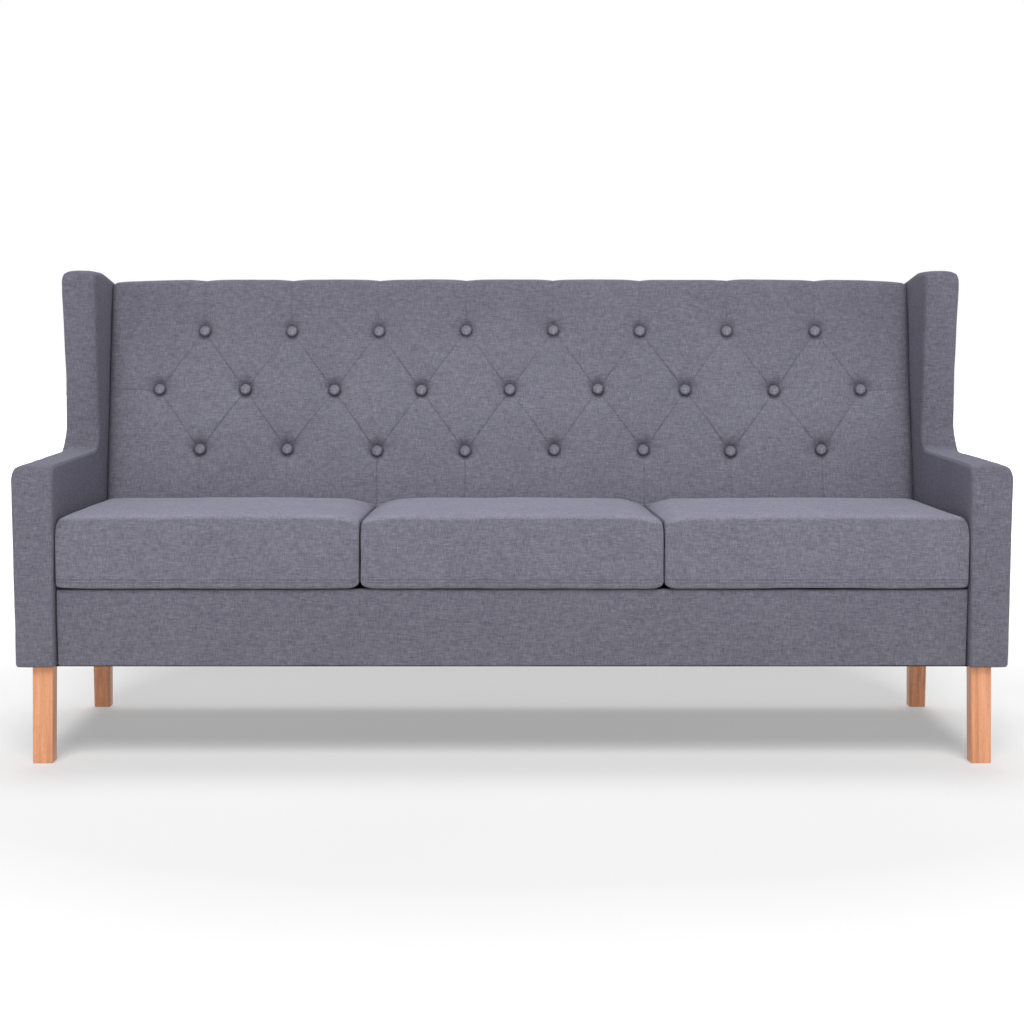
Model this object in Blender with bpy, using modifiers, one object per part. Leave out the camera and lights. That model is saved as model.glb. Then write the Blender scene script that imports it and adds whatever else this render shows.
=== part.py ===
"""Three-seat wing sofa with a buttoned back, loose seat cushions and square wooden legs.

Metres, +Z up. X runs across the sofa and +Y towards its back. The origin is on the floor,
under the middle of the sofa's bounding box. In this file a depth is measured from the front
faces of the arms, and a height from the floor.
"""

import math

import bmesh
import bpy
from mathutils import Matrix, Vector

# Clearances
GAP = 0.0005  # between fixed pieces that touch
CUSHION_GAP = 0.0015  # between a loose cushion and what stands beside it

# The two sides: each is an arm and a wing in one upright slab that leans outwards
BODY_BOTTOM = 0.175  # underside of the upholstered body, and the length of the legs
SIDE_OUTER = 0.8915  # half the body's width, at its underside
SIDE_WIDTH = 0.072
SIDE_WALL = 0.0125  # foam and cover round the side frames
LEAN = 0.029  # outward lean of a side, in metres for each metre of height
ARM_TOP_FRONT = 0.537
ARM_TOP_REAR = 0.550
WING_FRONT = 0.470  # depth of the wing's front edge
WING_TOP = 0.906
WING_SHOULDER = 0.560  # depth where the wing's top starts to fall towards the back
WING_TOP_REAR = 0.882
REAR_BOTTOM = 0.650  # depth of the body's rear edge, at its underside
REAR_TOP = 0.765  # depth of the wings' rear corners, before they are rounded

# Seat
SEATS = ("left", "middle", "right")
RAIL_BOTTOM = 0.188
RAIL_TOP = 0.292
RAIL_WIDTH = 0.028
WEBBING_ROOM = 0.035  # from the webbing to the middle rail
FRONT_RAIL = 0.029  # depth of the front rail's face
REAR_RAIL = 0.611
APRON_FRONT = 0.014  # depth of the upholstered face under the cushions
APRON_WALL = 0.0145
DECK_BOTTOM = 0.2945
DECK_TOP = 0.3145
DECK_FRONT = 0.075
WEB_THICKNESS = 0.0015
WEB_WIDTH = 0.070
WEB_STRAPS = 13  # straps that run from front to back
WEB_CROSS_STRAPS = 4
DUST_CLOTH_THICKNESS = 0.0012
DUST_CLOTH_MARGIN = 0.009  # from its edge to the body's outline
LEG_CUT_OUT = 0.001  # from a leg to the edge of its cut-out
CUSHION_FRONT = 0.005
CUSHION_BOTTOM = 0.316
CUSHION_TOP = 0.447

# Back
BACK_AT_SEAT = 0.515  # depth of the back pad's face where the cushions' tops meet it
BACK_SLOPE = 0.300  # how far the face leans back for each metre of height
BACK_BOTTOM = 0.3165
BACK_TOP = 0.896
PAD_THICKNESS = 0.075  # measured along Y
PAD_TOP_FLANGE = 0.034  # padding over the top rail
BOARD_THICKNESS = 0.009
BACK_RAIL = (0.022, 0.056)  # thickness and height
PANEL_THICKNESS = 0.010

# Buttons
BUTTON_ROWS = {"top": (8, 0.786), "middle": (9, 0.6625), "lower": (8, 0.539)}  # count, height
BUTTON_PITCH = 0.183
BUTTON_RADIUS = 0.012
BUTTON_SINK = 0.010  # how far the back of a button lies below the pad's face
DIMPLE_RADIUS = 0.026
SHANK_RADIUS = 0.002
SHANK_LENGTH = 0.024
BUTTON_ROOM = 0.001  # from a button to its pocket

# Legs
FRONT_LEG = {"width": 0.037, "foot": 0.036, "depth": 0.015, "rake": 0.0, "x": 0.8465}
REAR_LEG = {"width": 0.036, "foot": 0.033, "depth": 0.589, "rake": 0.012, "x": 0.8515}
BOLT_RADIUS = 0.004
BOLT_HOLE_RADIUS = 0.0044
BOLT_IN_LEG = 0.035
BOLT_IN_POST = 0.030

# Side frames
FRAME_WIDTH = 0.045  # thickness of the timber in a side, across the sofa
POST_DEPTH = 0.055
ARM_RAIL_HEIGHT = 0.032
SIDE_RAIL_HEIGHT = 0.080
WING_BOARD_WIDTH = 0.015
FRAME_ROOM = 0.003  # from the timber to the inside of the foam

LEFT, RIGHT = -1, 1
SIDES = {"left": LEFT, "right": RIGHT}


# ---------------------------------------------------------------- places

def at(depth):
    """The Y of a depth."""
    return depth - MIDDLE


def rear_edge(height):
    """Depth of the body's rear edge at a height."""
    share = (height - BODY_BOTTOM) / (WING_TOP_REAR - BODY_BOTTOM)
    return REAR_BOTTOM + (REAR_TOP - REAR_BOTTOM) * share


def back_face(height):
    """Depth of the back pad's front face at a height."""
    return BACK_AT_SEAT + BACK_SLOPE * (height - CUSHION_TOP)


def bay_half_width(height):
    """Half the distance between the inner faces of the two sides, at a height."""
    return SIDE_OUTER - SIDE_WIDTH + LEAN * (height - BODY_BOTTOM)


# ---------------------------------------------------------------- outlines

def rounded(corners, steps=4):
    """The points of a closed outline whose corners, (x, y, radius), are rounded with arcs."""
    points = []
    for i, (x, y, radius) in enumerate(corners):
        corner = Vector((x, y))
        if not radius:
            points.append(corner)
            continue
        back = (Vector(corners[i - 1][:2]) - corner).normalized()
        on = (Vector(corners[(i + 1) % len(corners)][:2]) - corner).normalized()
        half = back.angle(on) / 2
        middle = corner + (back + on).normalized() * radius / math.sin(half)
        start = corner + back * radius / math.tan(half) - middle
        end = corner + on * radius / math.tan(half) - middle
        turn = math.atan2(start.x * end.y - start.y * end.x, start.dot(end))
        for k in range(steps + 1):
            points.append(middle + Matrix.Rotation(turn * k / steps, 2) @ start)
    return points


def rectangle(across, along):
    """The points of a rectangle between two values of X and two of Y."""
    (x0, x1), (y0, y1) = across, along
    return [(x0, y0), (x1, y0), (x1, y1), (x0, y1)]


def inset(corners, walls):
    """The corners of a clockwise outline moved inwards by one wall thickness for each edge."""
    lines = []
    for i, wall in enumerate(walls):
        start = Vector(corners[i][:2])
        along = (Vector(corners[(i + 1) % len(corners)][:2]) - start).normalized()
        lines.append((start + Vector((along.y, -along.x)) * wall, along))
    moved = []
    for (a, u), (b, v) in zip([lines[-1], *lines], lines):
        share = ((b - a).x * v.y - (b - a).y * v.x) / (u.x * v.y - u.y * v.x)
        moved.append((*(a + u * share), 0))
    return moved


# ---------------------------------------------------------------- building blocks

def clear_scene():
    for obj in list(bpy.data.objects):
        bpy.data.objects.remove(obj)


def collection(name):
    made = bpy.data.collections.new(name)
    bpy.context.scene.collection.children.link(made)
    return made


def material(name, colour, roughness, metallic=0.0):
    made = bpy.data.materials.new(name)
    made.use_nodes = True
    shader = made.node_tree.nodes["Principled BSDF"]
    shader.inputs["Base Color"].default_value = (*colour, 1)
    shader.inputs["Roughness"].default_value = roughness
    shader.inputs["Metallic"].default_value = metallic
    return made


def add(name, mesh, finish, location=(0, 0, 0)):
    """A mesh as an object of the sofa."""
    obj = bpy.data.objects.new(name, mesh)
    obj.location = location
    mesh.materials.append(finish)
    SOFA.objects.link(obj)
    return obj


def cutter(name, mesh, location, group=None):
    """A mesh as a helper that only cuts."""
    obj = bpy.data.objects.new(name, mesh)
    obj.location = location
    obj.hide_render = True
    obj.display_type = "WIRE"
    (group or CUTTERS).objects.link(obj)
    return obj


def box_mesh(name, size):
    """A block centred on its origin."""
    mesh = bpy.data.meshes.new(name)
    block = bmesh.new()
    bmesh.ops.create_cube(block, size=1.0, matrix=Matrix.Diagonal((*size, 1)))
    block.to_mesh(mesh)
    block.free()
    return mesh


def box(name, across, depths, heights, finish):
    """A block between two X, two depths and two heights, with its origin at its centre."""
    spans = (across, depths, heights)
    centre = [sum(span) / 2 for span in spans]
    mesh = box_mesh(name, [abs(span[1] - span[0]) for span in spans])
    return add(name, mesh, finish, (centre[0], at(centre[1]), centre[2]))


def cylinder_mesh(name, radius, length, segments=12):
    """An upright cylinder centred on its origin."""
    mesh = bpy.data.meshes.new(name)
    round_bar = bmesh.new()
    bmesh.ops.create_cone(
        round_bar, cap_ends=True, segments=segments, radius1=radius, radius2=radius, depth=length
    )
    round_bar.to_mesh(mesh)
    round_bar.free()
    return mesh


def plate_mesh(name, outlines, thickness):
    """A flat plate with its outlines in X and Y, about Z = 0. An outline in another is a hole."""
    curve = bpy.data.curves.new(name, "CURVE")
    curve.dimensions = "2D"
    curve.fill_mode = "BOTH"
    curve.extrude = thickness / 2
    for outline in outlines:
        spline = curve.splines.new("POLY")
        spline.points.add(len(outline) - 1)
        for point, (x, y) in zip(spline.points, outline):
            point.co = (x, y, 0, 1)
        spline.use_cyclic_u = True
    flat = bpy.data.objects.new(name, curve)
    CUTTERS.objects.link(flat)
    bpy.context.view_layer.update()
    mesh = bpy.data.meshes.new_from_object(flat.evaluated_get(bpy.context.evaluated_depsgraph_get()))
    bpy.data.curves.remove(curve)
    mesh.name = name
    welded = bmesh.new()
    welded.from_mesh(mesh)
    bmesh.ops.remove_doubles(welded, verts=welded.verts, dist=1e-5)
    bmesh.ops.recalc_face_normals(welded, faces=welded.faces)
    bmesh.ops.dissolve_limit(
        welded, angle_limit=math.radians(0.5), verts=welded.verts, edges=welded.edges
    )
    welded.to_mesh(mesh)
    welded.free()
    return mesh


def prism_mesh(name, outline, width):
    """A solid with its outline in depth (Y) and height (Z), and its width along X, about X = 0."""
    mesh = plate_mesh(name, [outline], width)
    mesh.transform(Matrix(((0, 0, 1, 0), (1, 0, 0, 0), (0, 1, 0, 0), (0, 0, 0, 1))))
    return mesh


def prism(name, corners, width, finish, x=0.0, steps=4):
    """A prism whose outline is in depths and heights."""
    return add(name, prism_mesh(name, rounded(corners, steps), width), finish, (x, at(0), 0))


def slanted(front, low, high, thickness):
    """The corners of a board between two heights, whose face follows a depth for each height."""
    return [
        (front(low), low, 0),
        (front(high), high, 0),
        (front(high) + thickness, high, 0),
        (front(low) + thickness, low, 0),
    ]


def profile_mesh(name, profile):
    """The profile of a turned solid, (radius, height), from top to bottom."""
    mesh = bpy.data.meshes.new(name)
    edges = [(i, i + 1) for i in range(len(profile) - 1)]
    mesh.from_pydata([(r, 0, z) for r, z in profile], edges, [])
    return mesh


def turn(obj, steps=12):
    """Turns an object's profile about its Z axis."""
    screw = obj.modifiers.new("turned", "SCREW")
    screw.steps = screw.render_steps = steps
    screw.use_merge_vertices = True
    screw.merge_threshold = 0.00005


def soften(obj, width, segments=2, angle=50):
    """Rounds the edges that are sharper than an angle, in degrees."""
    bevel = obj.modifiers.new("soft edges", "BEVEL")
    bevel.width = width
    bevel.segments = segments
    bevel.limit_method = "ANGLE"
    bevel.angle_limit = math.radians(angle)


def cut(obj, other):
    """Cuts an object, or every object of a collection, out of another."""
    boolean = obj.modifiers.new("cut", "BOOLEAN")
    boolean.operation = "DIFFERENCE"
    if isinstance(other, bpy.types.Collection):
        boolean.operand_type = "COLLECTION"
        boolean.collection = other
    else:
        boolean.object = other


def lean(obj, side):
    """Leans a piece of a side outwards, about the height of the body's underside."""
    base = BODY_BOTTOM - obj.location.z
    for vertex in obj.data.vertices:
        vertex.co.x += side * LEAN * (vertex.co.z - base)
    return obj


def fit_between_sides(obj, gap=GAP):
    """Cuts both ends of a piece parallel to the inner faces of the sides."""
    piece = bmesh.new()
    piece.from_mesh(obj.data)
    for side in SIDES.values():
        outwards = Vector((side, 0, -LEAN)).normalized()
        edge = Vector((side * (bay_half_width(BODY_BOTTOM) - gap), 0, BODY_BOTTOM)) - obj.location
        bmesh.ops.bisect_plane(
            piece,
            geom=[*piece.verts, *piece.edges, *piece.faces],
            plane_co=edge,
            plane_no=outwards,
            clear_outer=True,
        )
        rim = [e for e in piece.edges if e.is_boundary]
        bmesh.ops.holes_fill(piece, edges=rim)
    bmesh.ops.recalc_face_normals(piece, faces=piece.faces)
    piece.to_mesh(obj.data)
    piece.free()
    return obj


# ---------------------------------------------------------------- the sides

def side_corners():
    """The outline of an arm and its wing, from the front of the underside, clockwise."""
    return [
        (0, BODY_BOTTOM, 0),
        (0, ARM_TOP_FRONT, 0.028),
        (WING_FRONT, ARM_TOP_REAR, 0.045),
        (WING_FRONT, WING_TOP, 0.026),
        (WING_SHOULDER, WING_TOP, 0.200),
        (REAR_TOP, WING_TOP_REAR, 0.018),
        (REAR_BOTTOM, BODY_BOTTOM, 0),
    ]


def side_middle(side):
    """The X of a side slab's middle, at the body's underside."""
    return side * (SIDE_OUTER - SIDE_WIDTH / 2)


def side_upholstery(name, side):
    """The padded cover of an arm and wing: a slab with a pocket for its frame, open below."""
    slab = prism(f"{name}_side_upholstery", side_corners(), SIDE_WIDTH, FABRIC, side_middle(side))
    lean(slab, side)
    soften(slab, 0.006)
    below = -0.02  # the pocket runs out through the underside
    pocket = rounded(inset(side_corners(), [SIDE_WALL] * 6 + [below]))
    mesh = prism_mesh(f"{name}_pocket", pocket, SIDE_WIDTH - 2 * SIDE_WALL)
    hollow = cutter(f"{name}_pocket", mesh, (side_middle(side), at(0), 0))
    lean(hollow, side)
    cut(slab, hollow)


def side_frame(name, side):
    """The timber inside an arm and wing. Each member is a block, or a board cut to a slope."""
    x = side_middle(side)
    across = (x - FRAME_WIDTH / 2, x + FRAME_WIDTH / 2)
    edge = SIDE_WALL + FRAME_ROOM
    post_front, post_back = edge, edge + POST_DEPTH
    rail_top = ARM_TOP_FRONT - edge - FRAME_ROOM
    rail_bottom = rail_top - ARM_RAIL_HEIGHT
    top = WING_TOP_REAR - edge - FRAME_ROOM
    base = BODY_BOTTOM + GAP

    def post_face(height):
        return rear_edge(height) - edge - POST_DEPTH

    def to_post(front, low, high):
        """The corners of a member that runs from a depth to the face of the back post."""
        ends = (post_face(low) - GAP, post_face(high) - GAP)
        return [(front, low, 0), (front, high, 0), (ends[1], high, 0), (ends[0], low, 0)]

    post = box(f"{name}_arm_post", across, (post_front, post_back), (base, rail_bottom - GAP), PINE)
    arm_corners = to_post(post_front, rail_bottom, rail_top)
    arm_rail = prism(f"{name}_arm_rail", arm_corners, FRAME_WIDTH, PINE, x)
    post_corners = slanted(post_face, base, top, POST_DEPTH)
    back_post = prism(f"{name}_back_post", post_corners, FRAME_WIDTH, PINE, x)
    rail_corners = to_post(post_back + GAP, RAIL_BOTTOM, RAIL_BOTTOM + SIDE_RAIL_HEIGHT)
    side_rail = prism(f"{name}_side_rail", rail_corners, FRAME_WIDTH, PINE, x)
    board_corners = to_post(WING_FRONT + edge, rail_top + GAP, top)
    wing_board = prism(f"{name}_wing_board", board_corners, WING_BOARD_WIDTH, PLYWOOD, x)
    for piece in (post, arm_rail, back_post, side_rail, wing_board):
        lean(piece, side)
    return post, back_post


# ---------------------------------------------------------------- the legs

def leg(name, side, kind, post):
    """A square leg that narrows to its foot, its hanger bolt, and the holes for the bolt."""
    top = BODY_BOTTOM - GAP
    width, foot = kind["width"], kind["foot"]
    x, y = side * kind["x"], at(kind["depth"] + width / 2)
    mesh = box_mesh(f"leg_{name}", (width, width, top))
    for vertex in mesh.vertices:
        if vertex.co.z < 0:
            vertex.co.xy *= foot / width
            vertex.co.y += kind["rake"]
    shaft = add(f"leg_{name}", mesh, OAK, (x, y, top / 2))
    soften(shaft, 0.002)
    bolt_low, bolt_high = top - BOLT_IN_LEG, BODY_BOTTOM + BOLT_IN_POST
    middle = (x, y, (bolt_low + bolt_high) / 2)
    length = bolt_high - bolt_low
    bolt = cylinder_mesh(f"leg_bolt_{name}", BOLT_RADIUS, length)
    add(f"leg_bolt_{name}", bolt, STEEL, middle)
    end_room = 0.004
    hole = cylinder_mesh(f"bolt_hole_{name}", BOLT_HOLE_RADIUS, length + end_room)
    drill = cutter(f"bolt_hole_{name}", hole, middle)
    cut(shaft, drill)
    cut(post, drill)


# ---------------------------------------------------------------- the seat

def seat_frame():
    """The rails of the seat box. The middle one is lower, so that the webbing can give."""
    half = bay_half_width(BODY_BOTTOM) - GAP
    heights = (RAIL_BOTTOM, RAIL_TOP)
    box("front_seat_rail", (-half, half), (FRONT_RAIL, FRONT_RAIL + RAIL_WIDTH), heights, PINE)
    box("rear_seat_rail", (-half, half), (REAR_RAIL, REAR_RAIL + RAIL_WIDTH), heights, PINE)
    across = (-RAIL_WIDTH / 2, RAIL_WIDTH / 2)
    between = (FRONT_RAIL + RAIL_WIDTH + GAP, REAR_RAIL - GAP)
    box("middle_cross_rail", across, between, (RAIL_BOTTOM, RAIL_TOP - WEBBING_ROOM), PINE)


def seat_webbing():
    """Elastic straps from front to back, tied by cross straps, stapled on top of the rails."""
    half = bay_half_width(BODY_BOTTOM) - GAP
    front, back = FRONT_RAIL + 0.002, REAR_RAIL + RAIL_WIDTH - 0.002
    pitch = (2 * half - WEB_WIDTH) / (WEB_STRAPS - 1)
    cross_pitch = (back - front - WEB_WIDTH) / (WEB_CROSS_STRAPS - 1)
    outlines = [rectangle((-half, half), (front, back))]
    for i in range(WEB_STRAPS - 1):
        for k in range(WEB_CROSS_STRAPS - 1):
            x, y = -half + i * pitch, front + k * cross_pitch
            outlines.append(rectangle((x + WEB_WIDTH, x + pitch), (y + WEB_WIDTH, y + cross_pitch)))
    mesh = plate_mesh("seat_webbing", outlines, WEB_THICKNESS)
    add("seat_webbing", mesh, WEBBING, (0, at(0), RAIL_TOP + GAP + WEB_THICKNESS / 2))


def front_apron():
    """The padded cover of the front rail: it folds over the rail's top and under its bottom."""
    lip = 0.012
    inner = APRON_FRONT + APRON_WALL
    corners = [
        (APRON_FRONT, BODY_BOTTOM, 0.005),
        (APRON_FRONT, DECK_TOP, 0.010),
        (DECK_FRONT, DECK_TOP, 0),
        (DECK_FRONT, DECK_BOTTOM, 0),
        (inner, DECK_BOTTOM, 0),
        (inner, BODY_BOTTOM + lip, 0),
        (FRONT_RAIL + RAIL_WIDTH, BODY_BOTTOM + lip, 0),
        (FRONT_RAIL + RAIL_WIDTH, BODY_BOTTOM, 0),
    ]
    width = 2 * bay_half_width(DECK_TOP)
    fit_between_sides(prism("front_apron", corners, width, FABRIC, steps=3))


def seat_deck():
    """The thin padded platform under the cushions."""
    half = bay_half_width(DECK_TOP)
    depths = (DECK_FRONT + GAP, REAR_RAIL + RAIL_WIDTH)
    deck = box("seat_deck", (-half, half), depths, (DECK_BOTTOM, DECK_TOP), DECK_CLOTH)
    fit_between_sides(deck)


def dust_cover():
    """The cloth stapled under the whole body, cut out round the legs."""
    half = SIDE_OUTER - DUST_CLOTH_MARGIN
    front, back = DUST_CLOTH_MARGIN, REAR_BOTTOM - DUST_CLOTH_MARGIN
    outlines = [rectangle((-half, half), (front, back))]
    for kind in (FRONT_LEG, REAR_LEG):
        for side in SIDES.values():
            x, y = side * kind["x"], kind["depth"] + kind["width"] / 2
            room = kind["width"] / 2 + LEG_CUT_OUT
            outlines.append(rectangle((x - room, x + room), (y - room, y + room)))
    mesh = plate_mesh("dust_cover", outlines, DUST_CLOTH_THICKNESS)
    add("dust_cover", mesh, DUST_CLOTH, (0, at(0), BODY_BOTTOM - GAP - DUST_CLOTH_THICKNESS / 2))


def cushion_pitch():
    """From one cushion's middle to the next one's."""
    return cushion_width() + CUSHION_GAP


def cushion_width():
    gaps = (len(SEATS) + 1) * CUSHION_GAP
    return (2 * bay_half_width(CUSHION_BOTTOM) - gaps) / len(SEATS)


def seat_cushion(name, x):
    """A loose seat cushion, with its origin at the middle of its underside.

    Its rear face is parallel to the back, so that it lifts straight out.
    """
    corners = [
        (CUSHION_FRONT, CUSHION_BOTTOM, 0.016),
        (CUSHION_FRONT, CUSHION_TOP, 0.045),
        (back_face(CUSHION_TOP) - 2 * CUSHION_GAP, CUSHION_TOP, 0.020),
        (back_face(CUSHION_BOTTOM) - 2 * CUSHION_GAP, CUSHION_BOTTOM, 0.010),
    ]
    cushion = prism(f"seat_cushion_{name}", corners, cushion_width(), FABRIC, x)
    middle = (CUSHION_FRONT + back_face(CUSHION_BOTTOM)) / 2
    cushion.data.transform(Matrix.Translation((0, -middle, -CUSHION_BOTTOM)))
    cushion.location = (x, at(middle), CUSHION_BOTTOM)
    soften(cushion, 0.014, 3)


# ---------------------------------------------------------------- the back

def back_pad():
    """The buttoned pad of the back. It hooks over the top rail, and has a pocket per button."""
    flange = BACK_TOP - PAD_TOP_FLANGE
    corners = [
        (back_face(BACK_BOTTOM), BACK_BOTTOM, 0),
        (back_face(BACK_TOP), BACK_TOP, 0.016),
        (rear_edge(BACK_TOP) - 0.004, BACK_TOP - 0.008, 0.014),
        (rear_edge(flange) - 0.002, flange, 0),
        (back_face(flange) + PAD_THICKNESS, flange, 0),
        (back_face(BACK_BOTTOM) + PAD_THICKNESS, BACK_BOTTOM, 0),
    ]
    width = 2 * bay_half_width(BACK_TOP)
    pad = fit_between_sides(prism("back_pad", corners, width, FABRIC))
    cut(pad, POCKETS)


def back_frame():
    """The board that the pad is glued to, its two rails, and the cover of the outside back."""
    thickness, rail_height = BACK_RAIL
    flange = BACK_TOP - PAD_TOP_FLANGE
    top_rail_bottom = flange - GAP - rail_height
    low = DECK_TOP + GAP

    def board_face(height):
        return back_face(height) + PAD_THICKNESS + GAP

    def rail_face(height):
        return board_face(height) + BOARD_THICKNESS + GAP

    def panel_face(height):
        return rear_edge(height) - GAP - PANEL_THICKNESS

    pieces = {
        "back_top_rail": (slanted(board_face, top_rail_bottom, flange - GAP, thickness), PINE),
        "back_board": (slanted(board_face, low, top_rail_bottom - GAP, BOARD_THICKNESS), PLYWOOD),
        "back_lower_rail": (slanted(rail_face, low, low + rail_height, thickness), PINE),
        "outside_back": (slanted(panel_face, BODY_BOTTOM, flange - GAP, PANEL_THICKNESS), FABRIC),
    }
    for name, (corners, finish) in pieces.items():
        fit_between_sides(prism(name, corners, 2 * bay_half_width(BACK_TOP), finish))


def button_places():
    """The name, X and height of each button. The rows are staggered by half a pitch."""
    for row, (count, height) in BUTTON_ROWS.items():
        for i in range(count):
            yield f"{row}_{i + 1}", (i - (count - 1) / 2) * BUTTON_PITCH, height


def buttons():
    """Covered buttons, each on a shank that is tied down in its own pocket of the pad."""
    recline = math.atan(BACK_SLOPE)
    outwards = Vector((0, -math.cos(recline), math.sin(recline)))
    rotation = (math.pi / 2 - recline, 0, 0)
    r = BUTTON_RADIUS
    head = [(0, 0.0085), (0.55 * r, 0.0076), (0.88 * r, 0.0050), (r, 0.0022), (0.85 * r, 0)]
    shank = [(SHANK_RADIUS, 0), (SHANK_RADIUS, -SHANK_LENGTH), (0, -SHANK_LENGTH)]
    button = profile_mesh("button", head + shank)
    button.materials.append(FABRIC)
    room = BUTTON_ROOM
    mouth = BUTTON_SINK + 0.004  # the pocket runs out through the pad's face
    mouth_radius = r + (DIMPLE_RADIUS - r) * mouth / BUTTON_SINK
    hole = SHANK_RADIUS + room
    cup = [(0, mouth), (mouth_radius, mouth), (r + room, -room), (hole, -room)]
    pocket = profile_mesh("pocket", [*cup, (hole, -SHANK_LENGTH - room), (0, -SHANK_LENGTH - room)])
    for name, x, height in button_places():
        face = Vector((x, at(back_face(height)), height))
        knob = bpy.data.objects.new(f"button_{name}", button)
        SOFA.objects.link(knob)
        hollow = cutter(f"pocket_{name}", pocket, face, POCKETS)
        for obj in (knob, hollow):
            obj.location = face - outwards * BUTTON_SINK
            obj.rotation_euler = rotation
            turn(obj)


# ---------------------------------------------------------------- the sofa

clear_scene()
MIDDLE = max(point[0] for point in rounded(side_corners())) / 2  # half the sofa's depth
SOFA = collection("wing_sofa")
CUTTERS = collection("cutters")
POCKETS = bpy.data.collections.new("button_pockets")
CUTTERS.children.link(POCKETS)

FABRIC = material("grey_weave", (0.19, 0.185, 0.23), 0.9)
OAK = material("oak", (0.72, 0.37, 0.19), 0.5)
PINE = material("pine", (0.70, 0.50, 0.29), 0.7)
PLYWOOD = material("plywood", (0.62, 0.44, 0.26), 0.7)
STEEL = material("zinc_plated_steel", (0.62, 0.62, 0.64), 0.35, 1.0)
WEBBING = material("webbing", (0.03, 0.03, 0.035), 0.85)
DECK_CLOTH = material("deck_cloth", (0.05, 0.05, 0.06), 0.95)
DUST_CLOTH = material("dust_cloth", (0.02, 0.02, 0.022), 0.95)

for side_name, side_sign in SIDES.items():
    side_upholstery(side_name, side_sign)
    front_post, rear_post = side_frame(side_name, side_sign)
    leg(f"front_{side_name}", side_sign, FRONT_LEG, front_post)
    leg(f"rear_{side_name}", side_sign, REAR_LEG, rear_post)

seat_frame()
seat_webbing()
front_apron()
seat_deck()
dust_cover()
for index, seat in enumerate(SEATS):
    seat_cushion(seat, (index - (len(SEATS) - 1) / 2) * cushion_pitch())

back_frame()
buttons()
back_pad()

for part in SOFA.objects:
    part.data.shade_smooth()
    part.data.set_sharp_from_angle(angle=math.radians(35))
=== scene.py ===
"""The looks of the wing sofa: its upholstery, wood and light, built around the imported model.

Metres, +Z up, and the sofa faces -Y. A depth is measured from the front faces of the arms.
"""

import math

import bmesh
import bpy
import numpy as np
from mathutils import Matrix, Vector, noise
from mathutils.geometry import delaunay_2d_cdt


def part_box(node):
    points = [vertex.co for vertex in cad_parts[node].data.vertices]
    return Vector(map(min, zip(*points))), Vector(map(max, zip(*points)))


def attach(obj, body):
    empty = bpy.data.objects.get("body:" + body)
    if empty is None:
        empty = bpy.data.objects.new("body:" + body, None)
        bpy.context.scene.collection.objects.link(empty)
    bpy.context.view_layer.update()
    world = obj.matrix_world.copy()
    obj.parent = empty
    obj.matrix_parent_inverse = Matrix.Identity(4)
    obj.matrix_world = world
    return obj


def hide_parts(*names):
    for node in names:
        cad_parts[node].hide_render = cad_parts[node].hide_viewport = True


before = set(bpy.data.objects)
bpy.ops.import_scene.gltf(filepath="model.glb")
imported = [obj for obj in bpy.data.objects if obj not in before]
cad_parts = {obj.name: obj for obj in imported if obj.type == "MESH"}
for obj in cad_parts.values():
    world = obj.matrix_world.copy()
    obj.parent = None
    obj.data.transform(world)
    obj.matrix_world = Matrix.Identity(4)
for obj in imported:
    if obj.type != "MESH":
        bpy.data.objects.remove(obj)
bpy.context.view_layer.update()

ROOT = "sofa_body"
SIDES = {"left": -1, "right": 1}
SEATS = {"left": -1, "middle": 0, "right": 1}  # the side of the seat that has an arm beside it

# The body's places, from the frame
SIDE_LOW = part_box("right_side_upholstery")[0]
APRON_LOW, APRON_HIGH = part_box("front_apron")
PAD_LOW, PAD_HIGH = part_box("back_pad")
DECK_LOW, DECK_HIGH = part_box("seat_deck")
PANEL_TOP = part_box("outside_back")[1].z
FRONT = SIDE_LOW.y
BODY_BOTTOM = SIDE_LOW.z

# Shape of the sides
SIDE_WIDTH = 0.072
LEAN = 0.029  # outward lean, in metres for each metre of height
SIDE_INNER = SIDE_LOW.x  # X of a side's inner face, at the body's underside
ARM_TOP_FRONT = 0.537
ARM_TOP_REAR = 0.546
WING_FRONT = 0.470
WING_TOP = 0.906
WING_SHOULDER = 0.560
WING_TOP_REAR = 0.882
REAR_BOTTOM = 0.650
REAR_TOP = 0.765

# Shape of the back
BACK_SLOPE = 0.300  # how far the face leans back for each metre of height
PAD_TOP = PAD_HIGH.z
PAD_FLANGE = PAD_TOP - 0.034
PAD_FACE_BOTTOM = PAD_LOW.y - FRONT
RECLINE = math.atan(BACK_SLOPE)
OUTWARDS = Vector((0, -math.cos(RECLINE), math.sin(RECLINE)))

# Clearances
UNDERSIDE = BODY_BOTTOM + 0.0002  # no cover hangs below this
PAD_GAP = 0.0012  # from a panel's end to the side next to it
PANEL_GAP = 0.0010
DECK_GAP = 0.0015

# Seams
SEAM_DEPTH = 0.0012
CORNER_DEGREES = (0, 14, 26, 34, 40, 45, 50, 56, 64, 76, 90)
SEAM_DEGREES = 45
SEAM_RING = CORNER_DEGREES.index(SEAM_DEGREES)
SEAM_SPREAD = 8.0  # degrees


# ---- materials

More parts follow.
